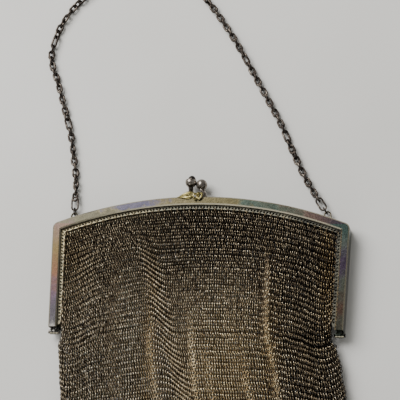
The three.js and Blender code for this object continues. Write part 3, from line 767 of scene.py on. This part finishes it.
def catmull_rom(points, per_span=24):
    """A smooth line through points, with even steps for uneven spans."""
    points = np.array(points, float)
    ends = [2 * points[0] - points[1]], [2 * points[-1] - points[-2]]
    padded = np.concatenate([ends[0], points, ends[1]])
    line = []
    for i in range(len(points) - 1):
        p = padded[i:i + 4]
        chords = np.linalg.norm(np.diff(p, axis=0), axis=1)
        knots = np.concatenate([[0], np.cumsum(np.sqrt(chords))])
        t = np.linspace(knots[1], knots[2], per_span, endpoint=False)[:, None]
        level = list(p)
        for width in (1, 2):
            level = [
                ((knots[k + width] - t) * level[k] + (t - knots[k]) * level[k + 1])
                / (knots[k + width] - knots[k]) for k in range(4 - width)]
        line.append(
            ((knots[2] - t) * level[0] + (t - knots[1]) * level[1]) / (knots[2] - knots[1]))
    return np.concatenate([*line, points[-1:]])


def wire_link(length, width, wire, major_sides, tube_sides):
    """A round ring drawn out into a link, long along X."""
    link = wire_ring((width - wire) / 2, wire / 2, major_sides, tube_sides)
    points = points_of(link)
    points[:, 0] += np.sign(np.round(points[:, 0], 4)) * (length - width) / 2
    set_points(link, points)
    return link


def chain_end(side):
    """The way each end of the chain leaves its eye, and what hangs there."""
    x = EYE_AT[side]
    eye = np.array([x, arch_y(x) + EYE_LEG, EYE_HEIGHT])
    route = CHAIN_ROUTE[0] if side < 0 else CHAIN_ROUTE[-1]
    away = unit(np.array([route[0], route[1], EYE_HEIGHT]) - eye)
    eye_top = eye + away * EYE_RADIUS
    ring_centre = eye_top + away * (RING_BORE / 2 - EYE_WIRE / 2 - GAP)
    link_start = ring_centre + away * (RING_BORE / 2 - END_WIRE - GAP)
    return ring_centre, link_start, away


def link_turn(away, roll):
    """A link's turn: its length along away, rolled about it."""
    flat = unit(np.cross([0, 0, 1.0], away))
    up = np.cross(away, flat)
    side = flat * np.cos(roll) + up * np.sin(roll)
    return np.stack([away, side, np.cross(away, side)], axis=-1)


def end_pieces(side, chain_metal, steel):
    """The ring in a chain eye and the long link on it."""
    word = "left" if side < 0 else "right"
    ring_centre, link_start, away = chain_end(side)
    ring = model_of(wire_ring((RING_BORE + RING_WIRE) / 2, RING_WIRE / 2, 28, 12))
    upright = link_turn(away, np.pi / 2)[None]
    piece = copies("ring", ring, upright, ring_centre[None])
    settle(piece, f"eye_ring_{word}_round", steel, [f"eye_ring_{word}"])
    link = model_of(wire_link(END_LENGTH, END_WIDTH, END_WIRE, 28, 12))
    centre = link_start + away * END_LENGTH / 2
    piece = copies("link", link, link_turn(away, 0)[None], centre[None])
    settle(piece, f"end_link_{word}_round", chain_metal, [f"end_link_{word}"])


def chain_links(chain_metal):
    """The links from one end link to the other, a long one after every few short ones."""
    first, last = [
        link_start + away * (END_LENGTH - 2 * END_WIRE)
        for _, link_start, away in (chain_end(-1), chain_end(1))]
    on_surface = [np.array([x, y, CHAIN_HEIGHT]) for x, y in CHAIN_ROUTE]
    line = catmull_rom([first, *on_surface, last])
    line[:, 2] = np.minimum(line[:, 2], EYE_HEIGHT)
    run = np.concatenate([[0], np.cumsum(np.linalg.norm(np.diff(line, axis=0), axis=1))])
    short, long = LINK_LENGTH - 2 * LINK_WIRE, LONG_LINK - 2 * LINK_WIRE
    bores = []
    while sum(bores) + short < run[-1]:
        bores.append(long if len(bores) % LONG_EVERY == FIRST_LONG else short)
    starts = np.concatenate([[0], np.cumsum(bores)]) * run[-1] / sum(bores)
    joints = np.stack([np.interp(starts, run, line[:, i]) for i in range(3)], axis=1)
    away = unit(np.diff(joints, axis=0))
    centres = (joints[1:] + joints[:-1]) / 2
    number = np.arange(len(bores))
    roll = np.where(number % 2, np.pi / 2, 0)
    roll = roll + rng.normal(0, LINK_ROLL_SPREAD, len(bores))
    turns = np.array([link_turn(away[i], roll[i]) for i in number])
    is_long = number % LONG_EVERY == FIRST_LONG
    sorts = [
        copies("links", model_of(wire_link(length, LINK_WIDTH, LINK_WIRE, 14, 7)),
               turns[which], centres[which])
        for length, which in ((LINK_LENGTH, ~is_long), (LONG_LINK, is_long))]
    settle(joined(sorts), "chain_links", chain_metal, ["chain"])


# Materials

def srgb(text):
    """A hex colour as the linear colour that the shader works in."""
    values = [int(text[i:i + 2], 16) / 255 for i in (1, 3, 5)]
    return [v / 12.92 if v <= 0.04045 else ((v + 0.055) / 1.055) ** 2.4 for v in values] + [1]


def add(tree, kind, inputs=None, stops=(), **settings):
    """Adds a node with its settings. Each input is a value, a node or a node's output, and
    stops are the places and hex colours of a colour ramp."""
    node = tree.nodes.new("ShaderNode" + kind)
    for name, value in settings.items():
        setattr(node, name, value)
    for name, value in (inputs or {}).items():
        if isinstance(value, bpy.types.Node):
            value = value.outputs[0]
        if isinstance(value, bpy.types.NodeSocket):
            tree.links.new(value, node.inputs[name])
        else:
            node.inputs[name].default_value = value
    for number, (place, colour) in enumerate(stops):
        elements = node.color_ramp.elements
        stop = elements[number] if number < 2 else elements.new(place)
        stop.position = place
        stop.color = srgb(colour)
    return node


def new_material(name):
    material = bpy.data.materials.new(name)
    material.use_nodes = True
    tree = material.node_tree
    tree.nodes.clear()
    return material, tree


def ring_wire():
    """Blackened nickel silver wire. Sulphide film leaves the rings almost black where nothing
    rubs them, and handling brings back a warm grey or gold ring by ring. The tone each ring
    carries also holds a painted highlight on its outward side and on pleat crests, and painted
    shade on its inner sides and under the arch."""
    material, tree = new_material("blackened nickel silver wire")
    wear_and_light = add(tree, "Attribute", attribute_name="wear_and_light").outputs["Fac"]
    gilt = add(tree, "Attribute", attribute_name="gilt").outputs["Fac"]
    grey = add(tree, "ValToRGB", {"Fac": wear_and_light}, [
        (0.0, "#1e1a17"), (0.4, "#625646"), (0.75, "#ad9d82"), (1.0, "#ebdfc6")])
    gold = add(tree, "ValToRGB", {"Fac": wear_and_light}, [
        (0.0, "#231a11"), (0.4, "#6b563a"), (0.75, "#b69964"), (1.0, "#edd6a0")])
    colour = add(tree, "MixRGB", {"Fac": gilt, "Color1": grey, "Color2": gold})
    place = add(tree, "TexCoord").outputs["Object"]
    grit = add(tree, "TexNoise", {"Vector": place, "Scale": 1000 / 0.8, "Detail": 1.0})
    rough = add(tree, "Math", {0: grit, 1: 0.25, 2: 0.18}, operation="MULTIPLY_ADD")
    shader = add(tree, "BsdfPrincipled", {
        "Base Color": colour, "Metallic": 0.95, "Roughness": rough})
    add(tree, "OutputMaterial", {"Surface": shader})
    return material


def rainbow_silver():
    """Polished silver plate with old sulphide film, whose thickness turns it olive, copper,
    purple and blue along the bar, and which handling has rubbed off the edges. The pale bevels
    are partly that rubbing and partly a painted highlight, and a straw spot on the arch and the
    pale end of the left arm are painted highlights."""
    material, tree = new_material("rainbow tarnished silver plate")
    place = add(tree, "TexCoord").outputs["Object"]
    axes = add(tree, "SeparateXYZ", {"Vector": place})
    cloud = add(tree, "TexNoise", {
        "Vector": place, "Scale": 1000 / 7, "Detail": 5.0, "Roughness": 0.65})
    wander = add(tree, "Math", {0: cloud, 1: 0.45, 2: -0.225}, operation="MULTIPLY_ADD")
    over = add(tree, "Math", {0: axes.outputs["X"], 1: 1 / 0.15, 2: 0.5}, operation="MULTIPLY_ADD")
    over_arch = add(tree, "Math", {0: over, 1: wander}, operation="ADD")
    # The lighter straw stop at 0.21 is a painted glint
    arch = add(tree, "ValToRGB", {"Fac": over_arch}, [
        (0.0, "#4a3f3b"), (0.07, "#454236"), (0.17, "#403d32"), (0.21, "#4f4a3b"),
        (0.25, "#3b3944"), (0.31, "#403d45"), (0.37, "#4b4534"), (0.57, "#4b4530"),
        (0.66, "#38423b"), (0.76, "#3f4239"), (0.86, "#52433c"), (1.0, "#353037")])
    down = add(tree, "Math", {
        0: axes.outputs["Y"], 1: -1 / 0.053, 2: -0.23}, operation="MULTIPLY_ADD")
    down_arm = add(tree, "Math", {0: down, 1: wander}, operation="ADD")
    # The pale last stop, at the arm's end by the hinge, is a painted highlight
    left = add(tree, "ValToRGB", {"Fac": down_arm}, [
        (0.0, "#4c3f39"), (0.25, "#473c26"), (0.5, "#473226"), (0.7, "#3b3138"),
        (0.82, "#332f33"), (0.94, "#363435"), (1.0, "#5f5c58")])
    right = add(tree, "ValToRGB", {"Fac": down_arm}, [
        (0.0, "#35443f"), (0.2, "#454a45"), (0.38, "#3c3140"), (0.6, "#44473f"),
        (0.75, "#4a382f"), (1.0, "#3d443c")])
    on_right = add(tree, "Math", {0: axes.outputs["X"], 1: 0.0}, operation="GREATER_THAN")
    arms = add(tree, "MixRGB", {"Fac": on_right, "Color1": left, "Color2": right})
    below = add(tree, "Math", {0: down, 1: 0.0}, operation="GREATER_THAN")
    film = add(tree, "MixRGB", {"Fac": below, "Color1": arch, "Color2": arms})
    # Bevels, tipped between flat and upright, are mixed towards pale metal: partly rubbed edges
    # and partly a painted highlight
    normal = add(tree, "NewGeometry").outputs["True Normal"]
    up = add(tree, "SeparateXYZ", {"Vector": normal}).outputs["Z"]
    upness = add(tree, "Math", {0: up}, operation="ABSOLUTE")
    on_bevel = add(tree, "Math", {0: upness, 1: 0.7, 2: 0.2}, operation="COMPARE")
    rub_and_highlight = add(tree, "Math", {0: on_bevel, 1: 0.7}, operation="MULTIPLY")
    colour = add(tree, "MixRGB", {"Fac": rub_and_highlight, "Color1": film, "Color2": srgb("#a59d87")})
    scratches = add(tree, "TexNoise", {
        "Vector": place, "Scale": 1000 / 0.7, "Detail": 3.0, "Distortion": 0.6})
    rough = add(tree, "Math", {0: scratches, 1: 0.25, 2: 0.12}, operation="MULTIPLY_ADD")
    bump = add(tree, "Bump", {"Height": cloud, "Strength": 0.25, "Distance": 0.0004})
    shader = add(tree, "BsdfPrincipled", {
        "Base Color": colour, "Metallic": 0.95, "Roughness": rough, "Normal": bump})
    add(tree, "OutputMaterial", {"Surface": shader})
    return material


def clouded_metal(name, stops, cloud_mm, low, span, painted_shade_drift=0.0):
    """Metal with a clouded film over it and an uneven polish: stops from the film's darkest
    patches to bare metal, the size of a patch, the least roughness and how much more, and how
    much darker it is painted with each metre along X, a painted shade."""
    material, tree = new_material(name)
    place = add(tree, "TexCoord").outputs["Object"]
    cloud = add(tree, "TexNoise", {"Vector": place, "Scale": 1000 / cloud_mm, "Detail": 4.0})
    # Painted shade: the film darkens along X
    if painted_shade_drift:
        x = add(tree, "SeparateXYZ", {"Vector": place}).outputs["X"]
        cloud = add(tree, "Math", {0: x, 1: -painted_shade_drift, 2: cloud}, operation="MULTIPLY_ADD")
    film = add(tree, "ValToRGB", {"Fac": cloud}, stops)
    fine = add(tree, "TexNoise", {"Vector": place, "Scale": 1000 / 0.4, "Detail": 2.0})
    rough = add(tree, "Math", {0: fine, 1: span, 2: low}, operation="MULTIPLY_ADD")
    bump = add(tree, "Bump", {"Height": fine, "Strength": 0.1, "Distance": 0.0001})
    shader = add(tree, "BsdfPrincipled", {
        "Base Color": film, "Metallic": 0.95, "Roughness": rough, "Normal": bump})
    add(tree, "OutputMaterial", {"Surface": shader})
    return material


def pale_cloth():
    """Pale grey cotton, matt and nearly plain."""
    material, tree = new_material("pale cotton backdrop")
    place = add(tree, "TexCoord").outputs["Object"]
    shade = add(tree, "TexNoise", {"Vector": place, "Scale": 1000 / 120, "Detail": 2.0})
    colour = add(tree, "ValToRGB", {"Fac": shade}, [(0.3, "#d6d4ce"), (0.7, "#dedcd7")])
    shader = add(tree, "BsdfPrincipled", {"Base Color": colour, "Roughness": 0.9})
    add(tree, "OutputMaterial", {"Surface": shader})
    return material


# Camera and room

def camera():
    data = bpy.data.cameras.new("camera")
    data.lens = 180
    data.sensor_width = 36
    made = bpy.data.objects.new("camera", data)
    made.location = (0.18218, -0.2868, 0.94737)
    made.rotation_euler = (0.30197, 0.17575, 0.05511)
    bpy.context.scene.collection.objects.link(made)
    bpy.context.scene.camera = made


def soft_box(name, place, size, power):
    data = bpy.data.lights.new(name, "AREA")
    data.shape = "SQUARE"
    data.size = size
    data.energy = power
    lamp = bpy.data.objects.new(name, data)
    lamp.location = place
    lamp.rotation_euler = (-Vector(place)).to_track_quat("-Z", "Y").to_euler()
    bpy.context.scene.collection.objects.link(lamp)


def room():
    select_none()
    bpy.ops.mesh.primitive_plane_add(size=4)
    floor = bpy.context.object
    floor.name = "floor"
    floor.data.materials.append(pale_cloth())
    world = bpy.data.worlds.new("room")
    bpy.context.scene.world = world
    world.use_nodes = True
    tree = world.node_tree
    tree.nodes.clear()
    glow = add(tree, "Background", {"Color": srgb("#e9eae8"), "Strength": 0.42})
    add(tree, "OutputWorld", {"Surface": glow})
    soft_box("window", (-0.65, 0.55, 1.0), 1.0, 27)
    soft_box("low_window", (-0.4, -1.5, 0.6), 1.0, 4.5)


camera()
room()

ring_metal = ring_wire()
silver = rainbow_silver()

# Rolled silver plate under an even grey film, which gives a dull sheen; darker to the right as
# painted shade
rail_metal = clouded_metal(
    "tarnished silver strip", [(0.25, "#3b3a35"), (0.5, "#6b685b"), (0.75, "#9a8f72")],
    14, 0.3, 0.3, painted_shade_drift=2.8)

# Turned steel blackened by its own oxide, nearly black but for small soft highlights; on the
# right hinge pin its darkness is painted shade, on the back ball's cap a painted reflection
steel = clouded_metal(
    "blackened steel and painted shade", [(0.3, "#161412"), (0.7, "#3a3530")], 3, 0.12, 0.2)

# Turned steel that handling has rubbed bright, with sharp highlights between darker clouds;
# on the left hinge pin this brightness is a painted highlight
bright_steel = clouded_metal(
    "bright steel, rubbed and painted highlight", [(0.35, "#4a443e"), (0.5, "#7d756c"), (0.7, "#aaa298")], 1.6, 0.12, 0.2)

# Drawn silver wire oxidised dark, almost black in patches and grey where links have rubbed
chain_metal = clouded_metal(
    "oxidised silver wire", [(0.3, "#1d1917"), (0.5, "#39322d"), (0.72, "#7d746a")], 2, 0.18, 0.25)

# Cast brass with its gilding worn thin, pale yellow on top of olive patches
gilt_brass = clouded_metal(
    "worn gilt brass", [(0.3, "#5f5630"), (0.5, "#8d8150"), (0.7, "#cfc294")], 2, 0.2, 0.25)

# The two hinge pins are one part in two finishes: the left one bright as a painted highlight, the
# right one dark as painted shade
for node, metal in (
        ("frame_front", silver), ("frame_back", silver),
        ("hinge_pin_left", bright_steel), ("hinge_pin_right", steel)):
    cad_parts[node].data.materials.clear()
    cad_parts[node].data.materials.append(metal)

mesh_panels(True, ring_metal, 3, 7)
mesh_panels(False, ring_metal, 3, 6)
for is_front, word in ((True, "front"), (False, "back")):
    pierced_rail(f"pierced_rail_{word}", is_front, rail_metal)
    rail_rings(f"rail_rings_{word}", is_front, ring_metal)
ball_stud("clasp_stud_front", FRONT_FOOT, FRAME_HEIGHT - HALF_DEPTH / 2, FRONT_BALL,
          FRONT_BALL_TOP, STEM_BOW, bright_steel, ["clasp_front"])
ball_stud("clasp_stud_back", BACK_FOOT, HALF_DEPTH / 2, BACK_BALL,
          BACK_BALL_TOP, 0.0, bright_steel, ["clasp_back"])
# Painted reflection: the dark cap on the back ball
dark_reflection_cap(steel)
clasp_leaf(gilt_brass)
end_pieces(-1, chain_metal, steel)
end_pieces(1, chain_metal, steel)
chain_links(chain_metal)
